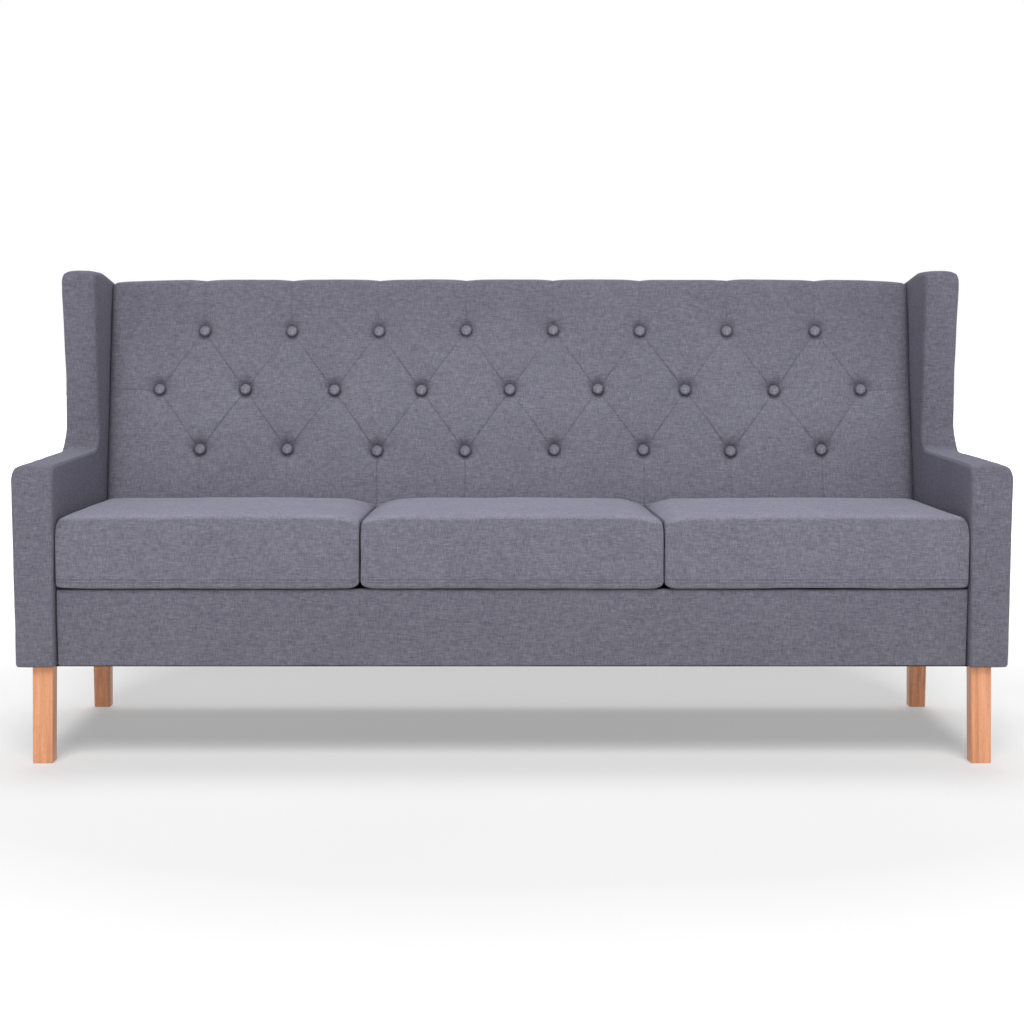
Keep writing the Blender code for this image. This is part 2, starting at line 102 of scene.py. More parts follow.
class Graph:
    """A material's nodes, with its Principled BSDF."""

    def __init__(self, name, roughness, **uniform):
        self.material = bpy.data.materials.new(name)
        self.material.use_nodes = True
        self.tree = self.material.node_tree
        self.shader = self.tree.nodes["Principled BSDF"]
        self.shader.inputs["Roughness"].default_value = roughness
        for socket, value in uniform.items():
            self.shader.inputs[socket.replace("_", " ")].default_value = value

    def add(self, kind, inputs=(), **settings):
        """A node. Its inputs are sockets or values, in order or by name."""
        made = self.tree.nodes.new("ShaderNode" + kind)
        for key, value in settings.items():
            setattr(made, key, value)
        pairs = inputs.items() if isinstance(inputs, dict) else enumerate(inputs)
        for key, value in pairs:
            if isinstance(value, bpy.types.NodeSocket):
                self.tree.links.new(value, made.inputs[key])
            else:
                made.inputs[key].default_value = value
        return made

    def math(self, operation, *values):
        return self.add("Math", values, operation=operation).outputs[0]

    def times(self, value, factor, *plus):
        """A product, plus one more value if there is one."""
        return self.math("MULTIPLY_ADD" if plus else "MULTIPLY", value, factor, *plus)

    def vector(self, x, y, z):
        return self.add("CombineXYZ", (x, y, z)).outputs[0]

    def scaled(self, vector, factors):
        return self.add("VectorMath", (vector, factors), operation="MULTIPLY").outputs[0]

    def noise(self, vector, scale, detail=2.0, roughness=0.5):
        inputs = {"Vector": vector, "Scale": scale, "Detail": detail, "Roughness": roughness}
        return self.add("TexNoise", inputs).outputs["Fac"]

    def ramp(self, factor, *stops):
        """A colour for each stop, (position, (r, g, b))."""
        made = self.add("ValToRGB", (factor,))
        elements = made.color_ramp.elements
        while len(elements) < len(stops):
            elements.new(0.5)
        for element, (position, colour) in zip(elements, stops):
            element.position = position
            element.color = (*colour, 1)
        return made.outputs[0]

    def range(self, value, low, high, out_low=0.0, out_high=1.0):
        return self.add("MapRange", (value, low, high, out_low, out_high)).outputs[0]

    def blend(self, factor, a, b):
        """a where the factor is 0, and b where it is 1."""
        return self.add("Mix", {0: factor, 2: a, 3: b}, data_type="FLOAT").outputs[0]

    def tint(self, colour, factor):
        """A colour made darker or lighter by a factor."""
        return self.add("VectorMath", {0: colour, "Scale": factor}, operation="SCALE").outputs[0]

    def bump(self, height, distance, strength):
        inputs = {"Height": height, "Distance": distance, "Strength": strength}
        return self.add("Bump", inputs).outputs[0]

    def finish(self, colour, normal=None, roughness=None):
        sockets = {"Base Color": colour, "Normal": normal, "Roughness": roughness}
        for name, value in sockets.items():
            if value:
                self.tree.links.new(value, self.shader.inputs[name])
        return self.material


def woven(name, dark, middle, light, painted_top_light=1.45, pitch=0.0015, slub=0.013, relief=0.00035):
    """A melange plain weave, drawn on whichever two axes the surface faces.

    Each thread runs over and under, changes tone along its length, differs from the next, and has
    painted shade where it dips under. What faces up is made lighter by the given factor: painted
    light.
    """
    g = Graph(name, 0.9, Sheen_Weight=0.20, Sheen_Roughness=0.50, Specular_IOR_Level=0.18,
              Sheen_Tint=(0.66, 0.66, 0.86, 1))
    place = g.add("TexCoord").outputs
    x, y, z = g.add("SeparateXYZ", (place["Object"],)).outputs
    normal = g.add("SeparateXYZ", (place["Normal"],)).outputs
    facing = [g.math("ABSOLUTE", axis) for axis in normal]
    sideways = g.math("GREATER_THAN", facing[0], g.math("MAXIMUM", *facing[1:]))
    upwards = g.math("GREATER_THAN", facing[2], g.math("MAXIMUM", *facing[:2]))
    waver = g.noise(place["Object"], 14.0, 1.0)
    u = g.times(waver, 0.004, g.blend(sideways, x, y))
    v = g.times(waver, -0.004, g.blend(upwards, z, y))
    threads = [g.math("DIVIDE", axis, pitch) for axis in (u, v)]
    column, row = (g.math("FLOOR", count) for count in threads)
    over = g.math("GREATER_THAN", g.math("FLOORED_MODULO", g.math("ADD", column, row), 2.0), 0.5)
    curves = [g.math("ABSOLUTE", g.math("SINE", g.times(count, math.pi))) for count in threads]
    warp, weft = (g.times(a, g.times(b, 0.4, 0.6)) for a, b in (curves, curves[::-1]))
    height = g.blend(over, warp, weft)
    warp_place = g.vector(g.times(column, 1.37), g.math("DIVIDE", v, slub), 0.0)
    weft_place = g.vector(g.math("DIVIDE", u, slub), g.times(row, 1.37), 7.7)
    tones = [g.noise(start, 1.0, 1.0) for start in (warp_place, weft_place)]
    fleck = g.noise(g.vector(u, v, 3.3), 480.0, 1.0, 0.6)
    mottle = g.noise(place["Object"], 7.0, 3.0, 0.6)
    slubs = g.times(g.math("ADD", *tones), 0.17)
    tone = g.math("ADD", g.times(g.blend(over, *tones), 0.43), slubs)
    tone = g.math("ADD", g.times(fleck, 0.23, tone), g.times(mottle, 0.08, -0.04))
    colour = g.ramp(tone, (0.30, dark), (0.50, middle), (0.70, light))
    # painted shade, from the "shade" attribute: darker where folds, seams and rims lie in shadow
    painted_shade = g.add("Attribute", attribute_name="shade").outputs["Fac"]
    # painted light: what faces up is made lighter, up to the given factor
    upper = g.range(normal[2], 0.82, 0.985, 1.0, painted_top_light)
    # painted shade: a thread is darker where it dips under the next
    depth = g.times(g.times(height, 0.16, 0.90), upper)
    colour = g.tint(colour, g.times(depth, g.math("SUBTRACT", 1.0, painted_shade)))
    raised = g.times(g.noise(place["Object"], 2400.0, 1.0), 0.35, height)
    return g.finish(colour, g.bump(raised, relief, 0.6), g.range(height, 0, 1, 0.98, 0.86))


def timber(name, dark, middle, light, roughness=0.42, grain=1.0):
    """Straight-grained wood, with its fibres along Z and fine pores."""
    g = Graph(name, roughness, Coat_Weight=0.12, Coat_Roughness=0.35)
    place = g.add("TexCoord").outputs["Object"]
    bent = g.noise(g.scaled(place, (9.0, 9.0, 2.2)), 1.0, 2.0)
    stretched = g.scaled(place, (120.0 * grain, 120.0 * grain, 3.2 * grain))
    shifted = g.add("VectorMath", (stretched, g.vector(bent, bent, 0.0)), operation="ADD")
    bands = g.noise(shifted.outputs[0], 1.0, 3.0, 0.55)
    fibres = g.noise(g.scaled(place, (1500.0, 1500.0, 32.0)), 1.0, 2.0, 0.6)
    pores = g.noise(g.scaled(place, (2600.0, 2600.0, 130.0)), 1.0, 0.0)
    tone = g.math("ADD", g.times(bands, 0.68), g.times(fibres, 0.32))
    colour = g.ramp(tone, (0.34, dark), (0.50, middle), (0.64, light))
    pitted = g.range(pores, 0.66, 0.74)
    gloss = g.range(tone, 0.3, 0.7, roughness + 0.10, roughness - 0.05)
    relief = g.bump(g.times(pitted, -0.7, fibres), 0.00012, 0.5)
    return g.finish(g.tint(colour, g.times(pitted, -0.30, 1.0)), relief, gloss)


def felted(name, dark, light):
    """A thin pressed cloth: short fibres in every direction, with rows of small bonding dots."""
    g = Graph(name, 0.95, Sheen_Weight=0.15)
    place = g.add("TexCoord").outputs["Object"]
    axes = g.add("SeparateXYZ", (place,)).outputs
    dots = g.times(*(g.math("SINE", g.times(axis, 1400.0)) for axis in axes[:2]))
    fibres = g.noise(place, 700.0, 4.0, 0.7)
    tone = g.times(g.range(dots, 0.55, 0.95), -0.18, fibres)
    return g.finish(g.ramp(tone, (0.3, dark), (0.7, light)), g.bump(tone, 0.0003, 0.6))


def metal(name, colour, roughness):
    """Zinc-plated steel with fine random scratches."""
    g = Graph(name, roughness, Metallic=1.0)
    place = g.add("TexCoord").outputs["Object"]
    scratches = g.noise(g.scaled(place, (900.0, 900.0, 60.0)), 1.0, 3.0)
    dull, bright = (tuple(c * k for c in colour) for k in (0.75, 1.1))
    return g.finish(g.ramp(scratches, (0.35, dull), (0.65, bright)),
                    g.bump(scratches, 0.0001, 0.3))


def grey(factor):
    """The cover's dark, middle and light threads, made lighter or darker by a factor: painted light
    and shade.
    """
    threads = {"dark": (0.085, 0.082, 0.108), "middle": (0.142, 0.138, 0.172),
               "light": (0.215, 0.211, 0.255)}
    return {name: tuple(c * factor for c in colour) for name, colour in threads.items()}


# ---- curves and outlines

def smooth(share):
    """0 to 1 with flat ends."""
    share = np.clip(share, 0, 1)
    return share * share * (3 - 2 * share)


def bell(distance, width):
    """1 at no distance, falling to 0 on a Gaussian curve."""
    return np.exp(-((distance / width) ** 2))


def rounding(gap, depth, reach, power=2.6):
    """How far a rounded edge falls at a gap from it, like a quarter of a superellipse."""
    share = np.clip(gap / reach, 0, 1)
    return depth * (1 - (1 - (1 - share) ** power) ** (1 / power))


def rounded(corners, spacing, closed=True, turn=math.radians(9)):
    """Points and outward normals along an outline, (x, y, radius) at each corner, clockwise.

    An open outline keeps its two ends. Straight runs get a point at least every spacing.
    """
    corners = [(Vector(corner[:2]), corner[2]) for corner in corners]
    count = len(corners)
    knots = []  # (point, normal)
    for i, (corner, radius) in enumerate(corners):
        before, after = corners[i - 1][0], corners[(i + 1) % count][0]
        into = (corner - before).normalized()
        out = (after - corner).normalized()
        if not closed and i in (0, count - 1):
            along = out if i == 0 else into
            knots.append((corner, Vector((-along.y, along.x))))
            continue
        angle = into.angle_signed(out)  # positive is clockwise
        side = math.copysign(1, angle)
        reach = radius * math.tan(abs(angle) / 2)
        centre = corner - into * reach + Vector((into.y, -into.x)) * side * radius
        steps = max(2, math.ceil(abs(angle) / turn))
        for k in range(steps + 1):
            part = angle * k / steps
            cos, sin = math.cos(part), math.sin(part)
            direction = Vector((into.x * cos + into.y * sin, -into.x * sin + into.y * cos))
            normal = Vector((-direction.y, direction.x))
            knots.append((centre + normal * radius * side, normal))
    points, normals = [], []
    for (a, na), (b, nb) in zip(knots, [*knots[1:], knots[0]] if closed else knots[1:]):
        steps = max(1, math.ceil((b - a).length / spacing))
        for k in range(steps):
            points.append(a.lerp(b, k / steps))
            normals.append(na.lerp(nb, k / steps).normalized())
    if not closed:
        points.append(knots[-1][0])
        normals.append(knots[-1][1])
    return np.array(points), np.array(normals)


def lengths_along(points):
    """The length of a line of points up to each of them."""
    return np.concatenate([[0], np.cumsum(np.hypot(*np.diff(points, axis=0).T))])


def inside(points, polygon):
    """Which points lie inside a closed polygon."""
    x, y = points[:, :1], points[:, 1:]
    ax, ay = polygon.T
    bx, by = np.roll(polygon, -1, axis=0).T
    crossing = (ay > y) != (by > y)
    with np.errstate(divide="ignore", invalid="ignore"):
        at = ax + (y - ay) * (bx - ax) / (by - ay)
    return (crossing & (x < at)).sum(axis=1) % 2 == 1


def nearest(points, others):
    """Distance from each point to the nearest of the others."""
    result = np.empty(len(points))
    block = 2000  # points at a time
    for start in range(0, len(points), block):
        x, y = points[start:start + block].T[:, :, None]
        result[start:start + block] = np.hypot(x - others[:, 0], y - others[:, 1]).min(axis=1)
    return result


def thin(points, spacing):
    """Drops points that share a small cell with an earlier one."""
    cells = np.round(points / spacing).astype(int)
    _, first = np.unique(cells, axis=0, return_index=True)
    return points[np.sort(first)]


def far_from(points, others, distance):
    """Which points have none of the others within a distance."""
    taken = set()
    for cu, cv in np.floor(others / distance).astype(int):
        taken.update((cu + a, cv + b) for a in (-1, 0, 1) for b in (-1, 0, 1))
    return np.array([tuple(c) not in taken for c in np.floor(points / distance).astype(int)])


def lattice(low, high, spacing):
    """A staggered grid of points between two corners."""
    rows = np.arange(low[1], high[1], spacing * 0.866)
    columns = np.arange(low[0], high[0], spacing)
    grid = np.array([[x + (k % 2) * spacing / 2, y] for k, y in enumerate(rows) for x in columns])
    return grid.reshape(-1, 2)


def box_corners(low_u, low_v, high_u, high_v, radius):
    """A rectangle's corners, clockwise from the lower left."""
    return [(low_u, low_v, radius), (low_u, high_v, radius),
            (high_u, high_v, radius), (high_u, low_v, radius)]


# ---- meshes

def add_object(name, data):
    made = bpy.data.objects.new(name, data)
    bpy.context.scene.collection.objects.link(made)
    return made


def mesh_object(name, points, faces, material):
    """A smooth-shaded object, with its faces turned outwards."""
    mesh = bpy.data.meshes.new(name)
    mesh.from_pydata([tuple(p) for p in points], [], faces)
    build = bmesh.new()
    build.from_mesh(mesh)
    bmesh.ops.recalc_face_normals(build, faces=build.faces)
    build.to_mesh(mesh)
    build.free()
    mesh.shade_smooth()
    made = add_object(name, mesh)
    mesh.materials.append(material)
    return made


def hand_over(piece, body, node):
    """Says which body a piece rides on, and hides the part it replaces."""
    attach(piece, body)
    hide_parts(node)


def coordinates(mesh, what="co"):
    values = np.empty(len(mesh.vertices) * 3)
    mesh.vertices.foreach_get(what, values)
    return values.reshape(-1, 3)


def move_points(mesh, places):
    mesh.vertices.foreach_set("co", np.asarray(places, float).ravel())
    mesh.update()


def apply_modifiers(obj):
    bpy.context.view_layer.update()
    evaluated = obj.evaluated_get(bpy.context.evaluated_depsgraph_get())
    mesh = bpy.data.meshes.new_from_object(evaluated)
    obj.modifiers.clear()
    obj.data = mesh


def shade(obj, values):
    """Paints shade into a cloth where folds, seams and rims lie in shadow: 0 to 1 at each vertex.
    """
    layer = obj.data.attributes.new("shade", "FLOAT", "POINT")
    layer.data.foreach_set("value", np.asarray(values, float))


def wander(places, scale, seed):
    """Smooth noise at each place, about -1 to 1, with features of the given size."""
    offset = Vector((seed * 17.3, seed * 5.1, seed * 9.7))
    return np.array([noise.noise(Vector(p) / scale + offset) for p in places])


def unevenness(obj, seed, *waves):
    """Moves a surface along its normals by smooth noise: (size, height) for each wave."""
    places = coordinates(obj.data)
    shift = sum(height * wander(places, size, seed + k) for k, (size, height) in enumerate(waves))
    move_points(obj.data, places + coordinates(obj.data, "normal") * shift[:, None])


def flatten_underside(obj):
    """Raises what hangs below the body's underside to it."""
    places = coordinates(obj.data)
    places[:, 2] = np.maximum(places[:, 2], UNDERSIDE)
    move_points(obj.data, places)


def fill(ring, extra, lines=()):
    """Triangles inside a closed ring of 2D points, through the extra points.

    Returns the points, whose first ones are the ring's, and the triangles.
    """
    points = np.vstack([ring, extra])
    loop = list(range(len(ring)))
    result = delaunay_2d_cdt([Vector(p) for p in points], list(lines), [loop], 1, 1e-7, True)
    origin = [source[0] if source else -1 for source in result[3]]
    triangles = np.array([[origin[i] for i in face] for face in result[2]])
    triangles = triangles[triangles.min(axis=1) >= 0]
    return points, triangles[inside(points[triangles].mean(axis=1), ring)]


def around(start, count):
    """The pairs of neighbours round a closed ring of points."""
    return [(start + k, start + (k + 1) % count) for k in range(count)]


def quads(first, second, count):
    """Faces between two closed rings of points, from where each ring starts."""
    return [(a, b, d, c) for (a, b), (c, d) in zip(around(first, count), around(second, count))]


def corner_rings(radius, groove):
    """A seamed corner: (inset, drop) from the corner's apex, from the face to the edge strip."""
    rings = []
    for degrees in CORNER_DEGREES:
        angle = math.radians(degrees)
        reach = radius - groove * bell(degrees - SEAM_DEGREES, SEAM_SPREAD)
        rings.append((radius - reach * math.sin(angle), radius - reach * math.cos(angle)))
    return rings


def stations(flat, spacing, fine=()):
    """Places across an edge strip from +flat to -flat, closer together where fine says."""
    count = max(2, round(2 * flat / spacing))
    places = {round(flat * (1 - 2 * k / count), 6) for k in range(count + 1)}
    for gap in fine:
        places.update((round(flat - gap, 6), round(gap - flat, 6)))
    return sorted(places, reverse=True)[1:-1]


class Slab:
    """A padded slab: two faces and an edge strip, sewn together round an outline.

    place(u, v, w) gives the 3D places, where w is across the slab. drop(points, normals, w)
    says how far the strip lies inside its outline. quilt(points, edge) is the height added to
    the faces, from their points and the distances to the edge. seams are lines of extra points
    in the faces.
    """

    def __init__(self, outline, normals, width, place, *, roll=0.008, groove=SEAM_DEPTH,
                 across=(), drop=None, fill_spacing=0.011, crown=0.002, quilt=None, seams=()):
        half = width / 2
        corner = corner_rings(roll, groove)
        self.first = len(corner)
        self.rings = [(inset, half - back) for inset, back in corner]
        self.rings += [(0.0, w) for w in across]
        self.rings += [(inset, back - half) for inset, back in reversed(corner)]
        self.count = len(outline)
        self.place = place
        self.flat = []
        for inset, w in self.rings:
            level = np.full(self.count, w)
            depth = np.full(self.count, inset)
            if drop:
                depth += drop(outline, normals, level)
            self.flat.append(np.column_stack([outline - normals * depth[:, None], level]))
        ring = self.flat[0][:, :2]
        grid = lattice(ring.min(axis=0), ring.max(axis=0), fill_spacing)
        grid = grid[inside(grid, ring)]
        grid = grid[nearest(grid, ring) > 0.45 * fill_spacing]
        if len(seams):
            seams = np.asarray(seams)
            grid = np.vstack([thin(seams, 0.0005), grid[far_from(grid, seams, 0.003)]])
        points, self.triangles = fill(ring, grid)
        inner = points[self.count:]
        edge = nearest(inner, ring)
        lift = crown * (1 - bell(edge, 0.03))
        if quilt:
            lift = lift + quilt(inner, edge)
        self.sides = [np.column_stack([inner, sign * (half + lift)]) for sign in (1, -1)]

    def mesh(self, name, material):
        count, last = self.count, len(self.rings) - 1
        faces = []
        for k in range(last):
            faces += quads(k * count, (k + 1) * count, count)
        start = len(self.rings) * count
        for first, side in zip((0, last), self.sides):
            faces += [[i + first * count if i < count else start + i - count for i in triangle]
                      for triangle in self.triangles.tolist()]
            start += len(side)
        flat = np.vstack([*self.flat, *self.sides])
        return mesh_object(name, self.place(*flat.T), faces, material)


def slab(name, corners, width, place, material, *, spacing=0.006, roll, **shape):
    """A padded slab with the same strip all round its corners."""
    outline, normals = rounded(corners, spacing)
    across = stations(width / 2 - roll, 0.008)
    made = Slab(outline, normals, width, place, roll=roll, across=across, **shape)
    return made.mesh(name, material)


# ---- the sides

def bay_half_width(height):
    """Half the distance between the sides' inner faces, at a height."""
    return SIDE_INNER + LEAN * (height - BODY_BOTTOM)


def between_sides(u, height, gap, base):
    """The X of a place between the sides, from its X at the base height."""
    return u * (bay_half_width(height) - gap) / (bay_half_width(base) - gap)


def side_upholstery(name, side, material):
    """An arm and its wing: two faces joined by a boxing strip, with a seam along each edge."""
    bottom = BODY_BOTTOM + 0.0004
    half = SIDE_WIDTH / 2
    roll, crown = 0.0042, 0.0016
    corners = [
        (0, bottom, 0.008),
        (0, ARM_TOP_FRONT, 0.030),
        (WING_FRONT, ARM_TOP_REAR, 0.050),
        (WING_FRONT, WING_TOP, 0.024),
        (WING_SHOULDER, WING_TOP, 0.200),
        (REAR_TOP, WING_TOP_REAR, 0.018),
        (REAR_BOTTOM, bottom, 0.008),
    ]

    def place(depth, height, across):
        """The wing draws in outside and flares at its top, and the arm's front is fuller."""
        wing = smooth((height - 0.535) / 0.06) * smooth((0.68 - depth) / 0.18)
        waist = -0.0022 * wing * bell(height - 0.69, 0.06)
        flare = (0.0018 * smooth((height - 0.79) / 0.08) - 0.0045) * wing
        outer = np.clip(across / half, 0, 1)
        inner = np.clip(-across / half, 0, 1) * np.clip(1 - depth / 0.12, 0, 1) ** 2
        fuller = -0.022 * (np.minimum(height, ARM_TOP_FRONT) - 0.37) * inner
        x = SIDE_INNER + half + across + LEAN * (height - BODY_BOTTOM)
        return np.stack([side * (x + outer * (flare + waist) + fuller), FRONT + depth, height], 1)

    def drop(points, normals, w):
        """The edges round over along the top, and down the front of the wing."""
        up, forward = np.maximum(normals[:, 1], 0) ** 2, np.maximum(-normals[:, 0], 0) ** 2
        wing = smooth((points[:, 1] - 0.57) / 0.05)
        outer, inner = half - w, half + w
        top = rounding(outer, 0.0115, 0.032) + rounding(inner, 0.0015 + 0.004 * wing, 0.018)
        front = wing * (rounding(inner, 0.0085, 0.020) + rounding(outer, 0.002, 0.010))
        return up * top + forward * front - crown * (1 - (w / half) ** 2)

    outline, normals = rounded(corners, 0.006)
    made = Slab(outline, normals, SIDE_WIDTH, place, roll=roll, groove=0.0009, drop=drop,
                across=stations(half - roll, 0.006), crown=0.0006)
    made = made.mesh(f"{name}_arm_and_wing", material)
    unevenness(made, 3 + side, (0.16, 0.0010), (0.045, 0.0005), (0.016, 0.00016))
    flatten_underside(made)
    hand_over(made, ROOT, f"{name}_side_upholstery")


# ---- the back

TOP_SEAM = 0.022  # from the top of the pad down to the seam along it
PAD_EDGE = 0.012  # radius of the pad's edges beside the wings
PITCH_TOLERANCE = 0.02
BUTTON_HEAD = 0.0085  # height of a button's head in the CAD
BUTTON_RADIUS = 0.0122
BUTTON_RINGS = (0.004, 0.008, 0.0105, 0.0125, 0.015, 0.018, 0.022, 0.027, 0.033)
BUTTON_PROFILE = [(0.25, 0.0075), (0.50, 0.0072), (0.70, 0.0067), (0.84, 0.0058), (0.94, 0.0042),
                  (1.0, 0.0018), (0.97, 0.0002), (0.86, -0.0012), (0.6, -0.002)]


def button_origins():
    """Where each button's head starts, by name: as in the CAD, give or take a hand's error."""
    origins = {}
    axis = np.array(OUTWARDS)
    hand = np.random.default_rng(21)
    for name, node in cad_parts.items():
        if name.startswith("button_"):
            places = coordinates(node.data)
            along = places @ axis
            middle = (places.min(axis=0) + places.max(axis=0)) / 2
            middle += axis * (along.max() - BUTTON_HEAD - middle @ axis)
            error = np.clip(hand.normal(0, 0.0014, 2), -0.003, 0.003)
            origins[name] = Vector(middle + error @ ((1, 0, 0), (0, axis[2], -axis[1])))
    return origins


def rear_edge(height):
    """Depth of the body's rear edge at a height."""
    share = (height - BODY_BOTTOM) / (WING_TOP_REAR - BODY_BOTTOM)
    return REAR_BOTTOM + (REAR_TOP - REAR_BOTTOM) * share


def back_face(height):
    """Depth of the back pad's face at a height."""
    return PAD_FACE_BOTTOM + BACK_SLOPE * (height - PAD_LOW.z)


class BackFace:
    """The pad's cover as a sheet: u runs across it, and v up its face and over its top."""

    def __init__(self):
        corners = [
            (back_face(PAD_LOW.z), PAD_LOW.z, 0),
            (back_face(PAD_TOP), PAD_TOP, 0.020),
            (rear_edge(PAD_TOP) - 0.004, PAD_TOP - 0.008, 0.017),
            (rear_edge(PAD_FLANGE) - 0.002, PAD_FLANGE, 0),
        ]
        self.points, self.normals = rounded(corners, 0.004, closed=False)
        self.lengths = lengths_along(self.points)
        self.length = self.lengths[-1]
        self.top = self.lengths[self.points[:, 1].argmax()]
        self.half = bay_half_width(PAD_TOP)

    def flat(self, place):
        """The (u, v) of a place on the front face."""
        across = place.x * self.half / (bay_half_width(place.z) - PAD_GAP)
        return np.array([across, (place.z - self.points[0][1]) / math.cos(RECLINE)])

    def place(self, u, v, lift):
        depth, height = (np.interp(v, self.lengths, axis) for axis in self.points.T)
        nd, nh = (np.interp(v, self.lengths, axis) for axis in self.normals.T)
        x = u * (bay_half_width(height) - PAD_GAP) / self.half
        return np.stack([x, FRONT + depth + nd * lift, height + nh * lift], axis=1)


def creases(sheet, buttons):
    """The buttons' places by row, and the folds between them.

    A fold is (start, end, depth at the start, depth at the end).
    """
    rng = np.random.default_rng(11)
    rows = {"top": [], "middle": [], "lower": []}
    for name, origin in buttons.items():
        rows[name.split("_")[1]].append(sheet.flat(origin))
    for row in rows.values():
        row.sort(key=lambda p: p[0])
    folds = []
    half_pitch = (rows["top"][1][0] - rows["top"][0][0]) / 2
    for middle in rows["middle"]:
        for row in ("top", "lower"):
            for other in rows[row]:
                if abs(abs(other[0] - middle[0]) - half_pitch) < PITCH_TOLERANCE:
                    low, high = rng.uniform(0.80, 1.05), rng.uniform(0.30, 0.60)
                    folds.append((middle, other, *((low, high) if row == "top" else (high, low))))
    for middle in (rows["middle"][0], rows["middle"][-1]):
        edge = np.array([math.copysign(sheet.half, middle[0]), middle[1] + 0.002])
        folds.append((middle, edge, 0.7, 0.45))
    folds += [(button, np.array([button[0], sheet.length]), 0.75, 0.35) for button in rows["top"]]
    for button in rows["lower"]:
        folds.append((button, np.array([button[0], 0.0]), *rng.uniform(0.25, 0.6, 2)))
    return rows, folds


def fold_places(fold, points):
    """Distance from a fold, signed, the share along it, and how far past its ends."""
    start, end = fold[:2]
    along = end - start
    length = np.hypot(*along)
    along = along / length
    offset = points - start
    share = np.clip(offset @ along / length, 0, 1)
    side = offset[:, 0] * -along[1] + offset[:, 1] * along[0]
    side = side * math.copysign(1, along[0] if abs(along[0]) > 1e-6 else 1)
    beyond = np.abs(offset @ along / length - share) * length
    return side, share, beyond


def tufted_height(sheet, rows, folds, points):
    """Height of the buttoned cover above the pad's plain face, and the shade painted on it."""
    u, v = points.T
    rng = np.random.default_rng(3)
    height = np.full(len(points), 0.0015)
    dark = np.zeros(len(points))
    for bu, bv in (button for row in rows.values() for button in row):
        du, dv = u - bu, v - bv
        r, turn = np.hypot(du, dv), np.arctan2(dv, du)
        pull = np.exp(-np.maximum(r - 0.0115, 0) / 0.0125)
        height -= 0.0100 * pull + 0.0025 * bell(r, 0.055)
        pleats = np.sin(turn * 7 + rng.uniform(0, 6)) + 0.6 * np.sin(turn * 11 + rng.uniform(0, 6))
        height += 0.00045 * pleats * bell(r - 0.018, 0.008)
        # painted shade: a dark ring round each button, and a dark fan above it, where light from
        # above is cut off
        rim = bell(r - 0.0130, 0.0024)
        fan = 0.020 - 0.25 * np.clip(dv - 0.010, 0, 0.03)  # narrower further above the button
        above = bell(du, fan) * bell(dv - 0.016, 0.013)
        dark = np.maximum(dark, np.maximum(0.46 * rim, 0.44 * above))
    for fold in folds:
        side, share, beyond = fold_places(fold, points)
        first, last = fold[2:]
        depth = (first + (last - first) * share) * bell(beyond, 0.004)
        steep = np.where(side > 0, 0.0010, 0.0028)  # the cloth above a fold lies over it
        height -= depth * (0.0016 * np.exp(-np.abs(side) / steep) + 0.0017 * bell(side, 0.013))
        # painted shade along each fold
        dark = np.maximum(dark, 0.60 * depth * bell(side, 0.0012))
    for bu, bv in rows["top"]:
        rise = np.clip((v - bv) / (sheet.top - bv), 0, 1)
        height -= 0.0015 * rise ** 2 * bell(u - bu, 0.022)
    seam = np.abs(v - (sheet.top - TOP_SEAM))
    height -= 0.0009 * np.exp(-seam / 0.0012)
    edge = np.maximum(sheet.half - np.abs(u), 0)
    upper = np.clip((v - sheet.top * 0.60) / (sheet.top * 0.30), 0, 1)
    # painted shade along the top seam, beside the wings, and growing towards the top of the face
    for shadow in (0.16 * bell(seam, 0.0011), 0.46 * np.exp(-edge / 0.015), 0.16 * upper):
        dark = np.maximum(dark, shadow)
    height -= 0.0105 * np.exp(-edge / 0.055) * np.clip((v - sheet.top + 0.09) / 0.10, 0, 1) ** 2
    inner = np.clip(PAD_EDGE - edge, 0, PAD_EDGE)
    height -= PAD_EDGE - np.sqrt(PAD_EDGE ** 2 - inner ** 2)
    return height, np.clip(dark, 0, 0.8)


def crease_points(start, end):
    """Points along a fold and in lines beside it."""
    spacing = 0.0035
    along = end - start
    length = np.hypot(*along)
    along = along / length
    across = np.array([-along[1], along[0]])
    steps = np.arange(0.012, length - 0.001, spacing)
    offsets = (0, 0.0011, -0.0011, 0.0026, -0.0026, 0.0055, -0.0055, 0.010, -0.010)
    return [start + (steps + (k % 2) * spacing / 2)[:, None] * along + across * offset
            for k, offset in enumerate(offsets)]


def line(u, v):
    """Points in (u, v), where one of the two may be a single number."""
    return np.stack(np.broadcast_arrays(u, v), axis=1)


def back_points(sheet, rows, folds):
    """The mesh points of the back's cover in (u, v): its rim, and those inside it.

    There are lines along the folds and rings round the buttons, so both stay sharp.
    """
    half, length, step = sheet.half, sheet.length, 0.009
    special = [points for start, end, *_ in folds for points in crease_points(start, end)]
    for bu, bv in (button for row in rows.values() for button in row):
        for k, r in enumerate(BUTTON_RINGS):
            turns = np.arange(24) / 24 * math.tau + (k % 2) * math.pi / 24
            special.append(line(bu + r * np.cos(turns), bv + r * np.sin(turns)))
    runs = np.arange(0, length, 0.006)
    special += [line(sign * (half - inset), runs)
                for inset in (0.0004, 0.0012, 0.0025, 0.0045, 0.007, 0.010) for sign in (-1, 1)]
    special += [line(np.arange(-half, half, 0.006), sheet.top - TOP_SEAM + offset)
                for offset in (0, 0.0009, -0.0009, 0.0022, -0.0022)]

    def clear(points, side, end):
        u, v = points.T
        return points[(np.abs(u) < half - side) & (v > end) & (v < length - end)]

    special = thin(clear(np.vstack(special), 0.0003, 0.0008), 0.0006)
    grid = clear(lattice((-half, 0), (half, length), step), 0.013, 0.004)
    grid = grid[far_from(grid, special, 0.0045)]
    across = np.arange(-half, half, step)
    rim = [line(across, 0), line(half, runs), line(-across, length), line(-half, length - runs)]
    return np.vstack(rim), np.vstack([special, grid])


